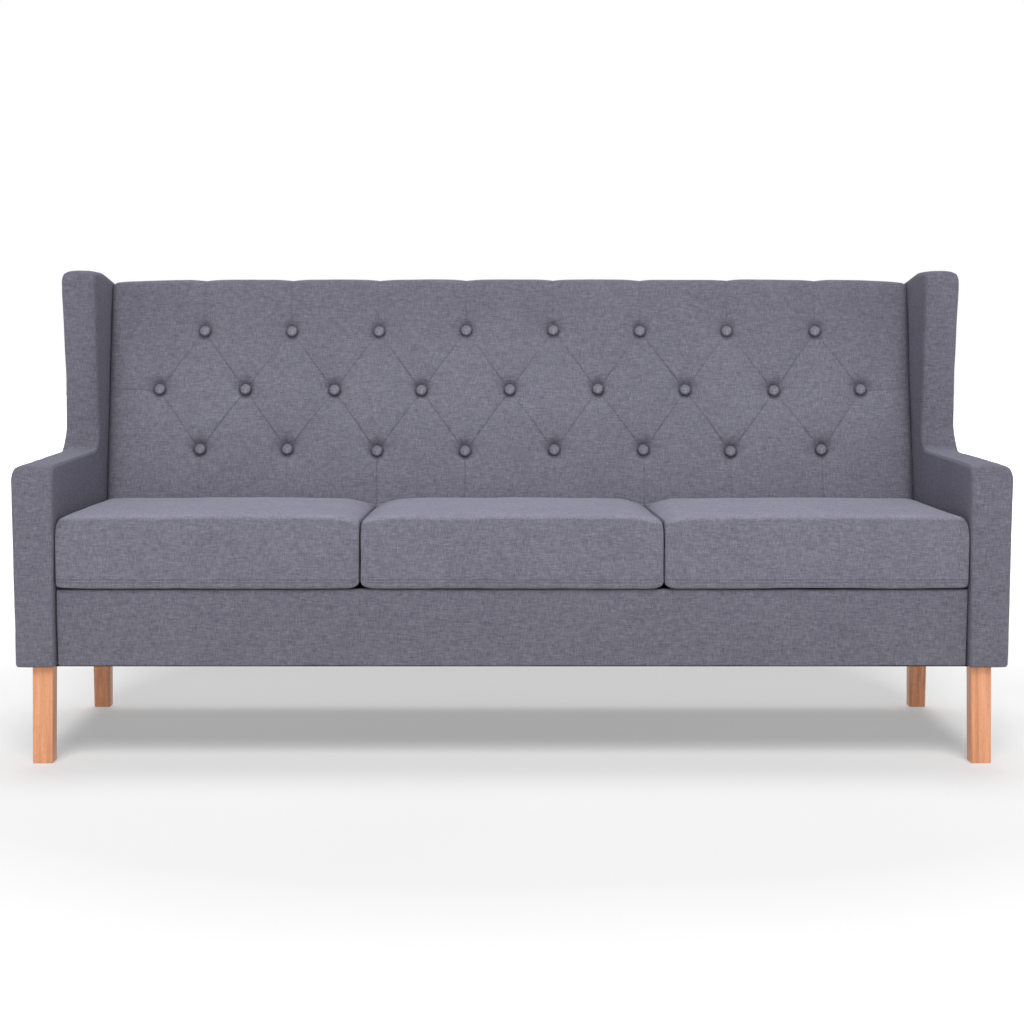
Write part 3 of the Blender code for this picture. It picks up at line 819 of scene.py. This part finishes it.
def back_pad(buttons, material):
    """The buttoned cover of the back, as one sheet over the pad's face and top."""
    sheet = BackFace()
    rows, folds = creases(sheet, buttons)
    ring, extra = back_points(sheet, rows, folds)
    points, triangles = fill(ring, extra)
    lift, dark = tufted_height(sheet, rows, folds, points)
    front = sheet.place(*points.T, lift)
    back = sheet.place(*ring.T, np.full(len(ring), -0.015))
    faces = triangles.tolist() + quads(0, len(points), len(ring))
    made = mesh_object("buttoned_back", np.vstack([front, back]), faces, material)
    # painted shade on the cover, and an even painted shade on the sheet's back
    shade(made, np.concatenate([dark, np.full(len(back), 0.3)]))
    unevenness(made, 8, (0.09, 0.0008), (0.03, 0.0003))
    hand_over(made, ROOT, "back_pad")


def button_cover(buttons, material):
    """Domed buttons with the cover gathered under their rims."""
    count = 48
    turns = math.tau * np.arange(count) / count
    points = [(0, 0, 0.0076)]
    faces = [(0, a, b) for a, b in around(1, count)]
    for i, (radius, z) in enumerate(BUTTON_PROFILE):
        gather = 0.030 * max(0, (radius - 0.8) / 0.2) * (z < 0.004)
        reach = radius * BUTTON_RADIUS * (1 + gather * np.cos(12 * turns))
        points += zip(reach * np.cos(turns), reach * np.sin(turns), [z] * count)
        if i:
            faces += quads(1 + (i - 1) * count, 1 + i * count, count)
    last = 1 + (len(BUTTON_PROFILE) - 1) * count
    faces += [(a, last + count, b) for a, b in around(last, count)]
    first = mesh_object("button_shape", [*points, (0, 0, -0.002)], faces, material)
    distance = np.hypot(*coordinates(first.data).T[:2]) / BUTTON_RADIUS
    # painted shade round each button's rim
    shade(first, 0.50 * np.clip((distance - 0.87) / 0.10, 0, 1))
    rng = np.random.default_rng(5)
    for name, origin in buttons.items():
        cover = add_object(f"{name}_cover", first.data)
        cover.location = origin - OUTWARDS * 0.0016
        tilt = rng.normal(0, 0.05, 2)
        cover.rotation_euler = (math.pi / 2 - RECLINE + tilt[0], tilt[1], 0)
        hand_over(cover, ROOT, name)
    bpy.data.objects.remove(first)


# ---- the seat cushions

CUSHION_ROLL = 0.0030
SIM_SPACING = 0.012
SWELL = 0.0065  # how far the middle of a cushion's top rises as it fills


class CushionShape:
    """A boxed cushion: a panel runs over its top and down its front, with a seam at each end.

    Its profile is in depths and heights, and its ends round over.
    """

    def __init__(self, seat):
        self.low, self.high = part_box(f"seat_cushion_{seat}")
        self.centre = (self.low.x + self.high.x) / 2
        self.half = (self.high.x - self.low.x) / 2 - 0.0002
        self.outer = SEATS[seat]
        low, high = self.low.z + 0.0004, self.high.z - 0.002
        front, back = self.low.y - FRONT, back_face(high) - 0.004
        self.corners = [
            (front, low, 0.007),
            (front, high, 0.042),
            (back, high, 0.022),
            (back_face(low) - 0.004, low, 0.010),
        ]
        self.seams = (low + 0.0105, low + 0.0155)

    def drop(self, points, normals, w):
        """The ends round over: more where two cushions meet than beside an arm."""
        beside_arm = np.sign(w) == self.outer
        gap = self.half - np.abs(w)
        up, down = np.maximum(normals[:, 1], 0) ** 2, np.maximum(-normals[:, 1], 0) ** 2
        forward = np.maximum(-normals[:, 0], 0) ** 2
        rear = np.clip(points[:, 0] / self.corners[2][0], 0, 1)
        top = np.where(beside_arm, rounding(gap, 0.0105, 0.036),
                       rounding(gap, 0.0095 + 0.0115 * rear, 0.060, 1.5))
        front = rounding(gap, np.where(beside_arm, 0.002, 0.0036), 0.015)
        bottom = rounding(gap, np.where(beside_arm, 0.002, 0.003), 0.014)
        return up * top + forward * front + down * bottom

    def rise(self, w, height):
        """How far the lower corners are pulled up, most at the bottom of an end."""
        most = np.where(np.sign(w) == self.outer, 0.004, 0.0105)
        fade = np.clip(1 - (height - self.low.z) / 0.045, 0, 1) ** 1.5
        return rounding(self.half - np.abs(w), most, 0.024, 2.0) * fade

    def place(self, depth, height, w):
        """A cushion beside an arm follows its lean."""
        height = height + self.rise(w, height)
        share = np.clip(w / self.half * self.outer, 0, 1) ** 3
        lean = self.outer * share * (LEAN * (height - self.low.z))
        return np.stack([self.centre + w + lean, FRONT + depth, height], axis=1)

    def build(self, spacing, across, groove, levels=()):
        """The cushion as a slab, and the lengths along its outline."""
        outline, normals = rounded(self.corners, spacing)
        if levels:
            outline, normals = with_levels(outline, normals, levels)
        made = Slab(outline, normals, 2 * self.half, self.place, roll=CUSHION_ROLL, groove=groove,
                    across=across, drop=self.drop, crown=0.0, fill_spacing=0.012)
        return made, lengths_along(np.vstack([outline, outline[:1]]))


def with_levels(outline, normals, levels):
    """Adds points to an outline where its first straight run crosses some heights."""
    closed, turned = (np.vstack([places, places[:1]]) for places in (outline, normals))
    length = lengths_along(closed)
    run = closed[:len(closed) // 3]
    places = np.interp(levels, run[:, 1], length[:len(run)])
    kept = [s for s in length[:-1] if np.abs(places - s).min() > 0.0004]
    every = np.array(sorted([*kept, *places]))
    points, ways = (np.column_stack([np.interp(every, length, axis) for axis in places.T])
                    for places in (closed, turned))
    return points, ways / np.hypot(*ways.T)[:, None]


def inflate(obj):
    """Cloth under pressure, held at its seams and along its underside."""
    settings = obj.modifiers.new("cloth", "CLOTH").settings
    settings.quality = 4
    settings.use_pressure = True
    settings.uniform_pressure_force = 4.0
    settings.effector_weights.gravity = 0
    settings.vertex_group_mass = "held"
    settings.shrink_min = -0.015
    scene = bpy.context.scene
    for number in range(1, 21):
        scene.frame_set(number)
    apply_modifiers(obj)
    scene.frame_set(1)


def swelling(shape, material):
    """How far each part of a cushion's panel moves when cloth under pressure fills it.

    Returns the places along the panel and across it, and the moves there.
    """
    across = stations(shape.half - CUSHION_ROLL, SIM_SPACING)
    made, length = shape.build(SIM_SPACING, across, 0.0)
    cloth = made.mesh("cushion_cloth", material)
    start = coordinates(cloth.data)
    count, last = made.count, len(made.rings) - 1
    seam = [k * count + i for k in (SEAM_RING, last - SEAM_RING) for i in range(count)]
    under = np.flatnonzero(start[:, 2] < shape.low.z + 0.003).tolist()
    cloth.vertex_groups.new(name="held").add([*seam, *under], 1.0, "REPLACE")
    inflate(cloth)
    move = coordinates(cloth.data) - start
    bpy.data.objects.remove(cloth)
    rows = slice(made.first * count, (made.first + len(across)) * count)
    grid = move[rows].reshape(len(across), count, 3)[::-1]
    grid = np.concatenate([grid, grid[:, :1]], axis=1)
    return length, np.array(across)[::-1], grid * (SWELL / max(grid[:, :, 2].max(), 1e-6))


def spread(cloth, where, w):
    """A simulated panel's moves at shares of its length, along one line across it at w."""
    length, across, grid = cloth
    row = np.interp(w, across, np.arange(len(across)))
    k = min(int(row), len(across) - 2)
    line = grid[k] * (1 - (row - k)) + grid[k + 1] * (row - k)
    return np.column_stack([np.interp(where * length[-1], length, axis) for axis in line.T])


def cushion(seat, material):
    """A boxed seat cushion, filled by cloth simulation between its seams."""
    shape = CushionShape(seat)
    fine = [0.003, 0.007, 0.012, 0.018, 0.025, 0.033]
    across = stations(shape.half - CUSHION_ROLL, 0.0115, fine)
    levels = [level + gap for level in shape.seams for gap in (-0.0016, -0.0007, 0, 0.0007, 0.0016)]
    boxed, length = shape.build(0.009, across, SEAM_DEPTH, levels)
    made = boxed.mesh(f"cushion_{seat}", material)
    places = coordinates(made.data)
    cloth = swelling(shape, material)
    for k, (_, w) in enumerate(boxed.rings):
        edge = np.clip((shape.half - abs(w)) / 0.012, 0, 1)
        move = spread(cloth, length[:-1] / length[-1], w)
        places[k * boxed.count:(k + 1) * boxed.count] += move * edge
    move_points(made.data, places)
    made.modifiers.new("finer", "SUBSURF").levels = 1
    apply_modifiers(made)
    made.data.shade_smooth()
    waves = (0.14, 0.0014), (0.05, 0.0007), (0.018, 0.00022)
    unevenness(made, 21 + shape.outer, *waves)
    press_seams(made, shape)
    keep_in_place(made, shape)
    hand_over(made, f"cushion_{seat}", f"seat_cushion_{seat}")


def press_seams(obj, shape):
    """Presses the two seams along the front into a cushion, and paints shade into them."""
    places = coordinates(obj.data)
    normals = coordinates(obj.data, "normal")
    front = np.clip((-normals[:, 1] - 0.5) / 0.3, 0, 1)
    w = places[:, 0] - shape.centre
    lines = [level + shape.rise(w, level) for level in shape.seams]
    groove = sum(bell(places[:, 2] - line, 0.0008) for line in lines)
    move_points(obj.data, places - normals * (0.0007 * groove * front)[:, None])
    # painted shade in the seam grooves
    shade(obj, 0.24 * np.clip(groove, 0, 1) * front)


def keep_in_place(obj, shape):
    """Keeps a cushion off its neighbours, the deck and the line of the apron."""
    places = coordinates(obj.data)
    across = places[:, 0] - shape.centre
    beside_arm = shape.half + 0.0003 + LEAN * (places[:, 2] - shape.low.z) * 0.8
    limit = np.where(np.sign(across) == shape.outer, beside_arm, shape.half)
    places[:, 0] = shape.centre + np.clip(across, -limit, limit)
    places[:, 1:] = np.maximum(places[:, 1:], (shape.low.y - 0.004, shape.low.z + 0.0002))
    move_points(obj.data, places)


# ---- apron, outside back, deck

def front_apron(material):
    """The padded face under the cushions, with its ends tucked in beside the arms."""
    half = bay_half_width(BODY_BOTTOM) - PANEL_GAP
    thickness = 0.015
    middle = APRON_LOW.y + thickness / 2

    def place(u, v, w):
        return np.stack([between_sides(u, v, PANEL_GAP, BODY_BOTTOM), middle - w, v], axis=1)

    corners = box_corners(-half, APRON_LOW.z + 0.0012, half, APRON_HIGH.z - 0.0002, 0.004)
    made = slab("apron", corners, thickness, place, material, roll=0.0032, groove=0.0,
                crown=0.0012, fill_spacing=0.010)
    unevenness(made, 31, (0.20, 0.0010), (0.05, 0.0006), (0.018, 0.0002))
    flatten_underside(made)
    hand_over(made, ROOT, "front_apron")


def outside_back(material):
    """The rear cover, stretched flat over the frame and tacked along its edges."""
    half = bay_half_width(BODY_BOTTOM) - PANEL_GAP
    rise = PANEL_TOP - BODY_BOTTOM
    slope = math.atan2(rear_edge(PANEL_TOP) - rear_edge(BODY_BOTTOM), rise)
    thickness = 0.010

    def place(u, v, w):
        height = BODY_BOTTOM + v * math.cos(slope) - w * math.sin(slope)
        x = between_sides(u, height, PANEL_GAP, BODY_BOTTOM)
        depth = rear_edge(BODY_BOTTOM) + v * math.sin(slope) - thickness / 2 + w * math.cos(slope)
        return np.stack([x, FRONT + depth, height], axis=1)

    corners = box_corners(-half, 0.002, half, rise / math.cos(slope), 0.005)
    made = slab("rear_cover", corners, thickness, place, material, roll=0.0042, groove=0.0,
                crown=-0.0008, fill_spacing=0.013)
    unevenness(made, 41, (0.22, 0.0014), (0.06, 0.0005))
    flatten_underside(made)
    hand_over(made, ROOT, "outside_back")


def seat_deck(material):
    """The platform under the cushions, stitched through in channels from side to side."""
    half = bay_half_width(DECK_HIGH.z) - DECK_GAP
    thickness = DECK_HIGH.z - DECK_LOW.z - 0.002
    middle = (DECK_LOW.z + DECK_HIGH.z) / 2
    front, rear = DECK_LOW.y - FRONT + 0.001, DECK_HIGH.y - FRONT - 0.001
    channels = np.arange(front + 0.06, rear - 0.03, 0.062)

    def place(u, v, w):
        return np.stack([between_sides(u, middle + w, DECK_GAP, DECK_HIGH.z), FRONT + v,
                         middle + w], axis=1)

    def quilt(points, edge):
        gap = np.abs(points[:, 1:] - channels).min(axis=1)
        return (1 - bell(edge, 0.01)) * (0.0010 - 0.0032 * np.exp(-gap / 0.004))

    seams = [(x, channel + gap) for channel in channels
             for gap in (-0.006, -0.0025, 0, 0.0025, 0.006)
             for x in np.arange(-half + 0.012, half - 0.012, 0.012)]
    corners = box_corners(-half, front, half, rear, 0.006)
    made = slab("deck_cover", corners, thickness, place, material, roll=0.006, groove=0.0,
                crown=0.0, fill_spacing=0.016, quilt=quilt, seams=seams, spacing=0.010)
    hand_over(made, ROOT, "seat_deck")


# ---- the underside

def dust_cover(material, staple_material):
    """The cloth under the body, hanging slack between its staples, and cut out round the legs."""
    low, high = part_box("dust_cover")
    low.y = APRON_LOW.y + 0.012
    height = (low.z + high.z) / 2
    outline, _ = rounded(box_corners(low.x, low.y, high.x, high.y, 0.012), 0.012)
    grid = lattice((low.x, low.y), (high.x, high.y), 0.014)
    grid = grid[inside(grid, outline)]
    holes, edges, start = [], [], len(outline)
    for name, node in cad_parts.items():
        if name.startswith("leg_") and "bolt" not in name:
            leg = coordinates(node.data)
            leg = leg[leg[:, 2] > height - 0.02]
            a, b = leg.min(axis=0) - 0.0012, leg.max(axis=0) + 0.0012
            hole, _ = rounded(box_corners(a[0], a[1], b[0], b[1], 0.002), 0.006)
            holes.append(hole)
            edges += around(start, len(hole))
            start += len(hole)
    rims = np.vstack([outline, *holes])
    grid = grid[far_from(grid, rims, 0.006)]
    for hole in holes:
        grid = grid[~inside(grid, hole)]
    points, triangles = fill(outline, np.vstack([*holes, grid]), edges)
    for hole in holes:
        triangles = triangles[~inside(points[triangles].mean(axis=1), hole)]
    edge = nearest(points, rims)
    ripple = wander(np.column_stack([points, np.zeros(len(points))]), 0.06, 4) * 0.0010
    level = height - 0.0045 * (1 - bell(edge, 0.12)) + ripple * (1 - bell(edge, 0.03))
    made = mesh_object("dust_sheet", np.column_stack([points, level]), triangles.tolist(), material)
    thicken = made.modifiers.new("thickness", "SOLIDIFY")
    thicken.thickness = 0.0006
    thicken.offset = 0
    apply_modifiers(made)
    made.data.shade_smooth()
    hand_over(made, ROOT, "dust_cover")
    hem = 0.006
    path = box_corners(low.x + hem, low.y + hem, high.x - hem, high.y - hem, 0.02)
    staples(rounded(path, 0.055), height - 0.0006, staple_material)


def staples(path, height, material):
    """Staple crowns along a closed path, each a thin bar with rounded ends."""
    half, radius, count = 0.0055, 0.0006, 6
    turns = math.tau * np.arange(count)[:, None] / count
    widths = ((-1, 0.35), (-0.86, 0.85), (0, 1.0), (0.86, 0.85), (1, 0.35))
    rng = np.random.default_rng(9)
    places, faces = [], []
    for (x, y), (nx, ny) in zip(*path):
        turn = math.atan2(nx, -ny) + rng.normal(0, 0.12)
        axis = Vector((math.cos(turn), math.sin(turn), 0))
        first = axis.orthogonal().normalized()
        round_it = np.cos(turns) * first + np.sin(turns) * axis.cross(first)
        start = len(places)
        for k, (along, width) in enumerate(widths):
            centre = np.array((x, y, height)) + np.array(axis) * (along * half)
            places += list(centre + round_it * (radius * width))
            if k:
                faces += quads(start + (k - 1) * count, start + k * count, count)
        faces += [[end + i for i in range(count)] for end in (start, start + k * count)]
    made = mesh_object("dust_cover_staples", places, faces, material)
    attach(made, ROOT)


# ---- camera, floor and light

def camera():
    """Level, in front of the sofa, at the height of a table, with the lens shifted down."""
    made = add_object("camera", bpy.data.cameras.new("camera"))
    aside, distance, height = -0.028, 3.7, 0.7457
    made.location = (aside, FRONT - distance, height)
    made.rotation_euler = (math.pi / 2, 0, 0)
    made.data.sensor_width = 36
    made.data.lens = 72.4
    made.data.shift_x = -aside * made.data.lens / (distance * made.data.sensor_width)
    made.data.shift_y = -0.158
    bpy.context.scene.camera = made


def floor():
    """A pale floor that glows, though it is no lamp: faintly near the sofa, which lightens the
    shadow under it, and more further out, where it fades into the white of the room.
    """
    bpy.ops.mesh.primitive_plane_add(size=60)
    made = bpy.context.object
    made.name = "floor"
    g = Graph("floor", 0.7, Emission_Color=(1, 1, 1, 1))
    place = g.add("TexCoord").outputs["Object"]
    tone = g.noise(place, 1.5, 3.0)
    away = g.add("VectorMath", (place,), operation="LENGTH").outputs["Value"]
    # painted light: the floor glows, least near the sofa and most far from it
    glow = g.range(away, 1.2, 3.6, 0.28, 0.95)
    g.tree.links.new(glow, g.shader.inputs["Emission Strength"])
    made.data.materials.append(g.finish(g.ramp(tone, (0.3, (0.66,) * 3), (0.7, (0.68,) * 3))))


def soft_sun(name, direction, power):
    """Light from far away, as wide in the sky as a large window."""
    made = add_object(name, bpy.data.lights.new(name, "SUN"))
    made.data.energy = power
    made.data.angle = math.radians(30)
    made.rotation_euler = Vector(direction).to_track_quat("Z", "Y").to_euler()


def lighting():
    """A large soft light overhead and in front, in a room that is white round the horizon."""
    world = bpy.data.worlds.new("studio")
    bpy.context.scene.world = world
    world.use_nodes = True
    tree = world.node_tree
    background = tree.nodes["Background"]
    background.inputs["Color"].default_value = (1, 1, 1, 1)
    direction, axes, fade = (tree.nodes.new("ShaderNode" + kind)
                             for kind in ("TexCoord", "SeparateXYZ", "MapRange"))
    fade.interpolation_type = "SMOOTHSTEP"
    for name, value in {"From Min": 0.20, "From Max": 0.55, "To Min": 1.0, "To Max": 0.04}.items():
        fade.inputs[name].default_value = value
    tree.links.new(direction.outputs["Generated"], axes.inputs[0])
    tree.links.new(axes.outputs["Z"], fade.inputs["Value"])
    tree.links.new(fade.outputs[0], background.inputs["Strength"])
    soft_sun("key", (0, -0.85, 1), 2.12)
    soft_sun("top", (0, 0.35, 1), 0.95)
    bpy.context.scene.view_settings.view_transform = "Standard"


# ---- the sofa

def give_materials(table):
    """Puts a material on each CAD node that shows or may show, by the start of its name."""
    for name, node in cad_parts.items():
        for material, starts in table:
            if name.startswith(starts):
                node.data.materials.clear()
                node.data.materials.append(material)


# One cloth in lit and shaded copies: each grey() factor paints light or shade; cushion tops get
# more painted light
COVER = woven("cover_weave", **grey(0.95))
BACK = woven("back_weave", **grey(1.25))
CUSHION = woven("cushion_weave", painted_top_light=1.85, **grey(1.10))
BUTTON = woven("button_weave", **grey(0.98))
OAK = timber("oak", (0.47, 0.185, 0.082), (0.65, 0.275, 0.130), (0.76, 0.35, 0.18))
PINE = timber("pine", (0.50, 0.33, 0.16), (0.66, 0.47, 0.27), (0.74, 0.56, 0.35), 0.7, 0.5)
BLACK_CLOTH = felted("dust_cloth", (0.008, 0.008, 0.009), (0.03, 0.03, 0.033))
DECK_CLOTH = felted("deck_cloth", (0.02, 0.02, 0.023), (0.06, 0.06, 0.068))
STEEL = metal("zinc_plate", (0.62, 0.62, 0.64), 0.35)

camera()
floor()
lighting()

for side_name, side_sign in SIDES.items():
    side_upholstery(side_name, side_sign, COVER)

BUTTONS = button_origins()
back_pad(BUTTONS, BACK)
button_cover(BUTTONS, BUTTON)
for seat_name in SEATS:
    cushion(seat_name, CUSHION)
front_apron(COVER)
outside_back(COVER)
seat_deck(DECK_CLOTH)
dust_cover(BLACK_CLOTH, STEEL)

give_materials([
    (OAK, ("leg_front", "leg_rear")), (STEEL, ("leg_bolt",)), (BLACK_CLOTH, ("seat_webbing",)),
    (PINE, ("left_", "right_", "front_seat_rail", "rear_seat_rail", "middle_cross_rail",
            "back_top_rail", "back_lower_rail", "back_board")),
])
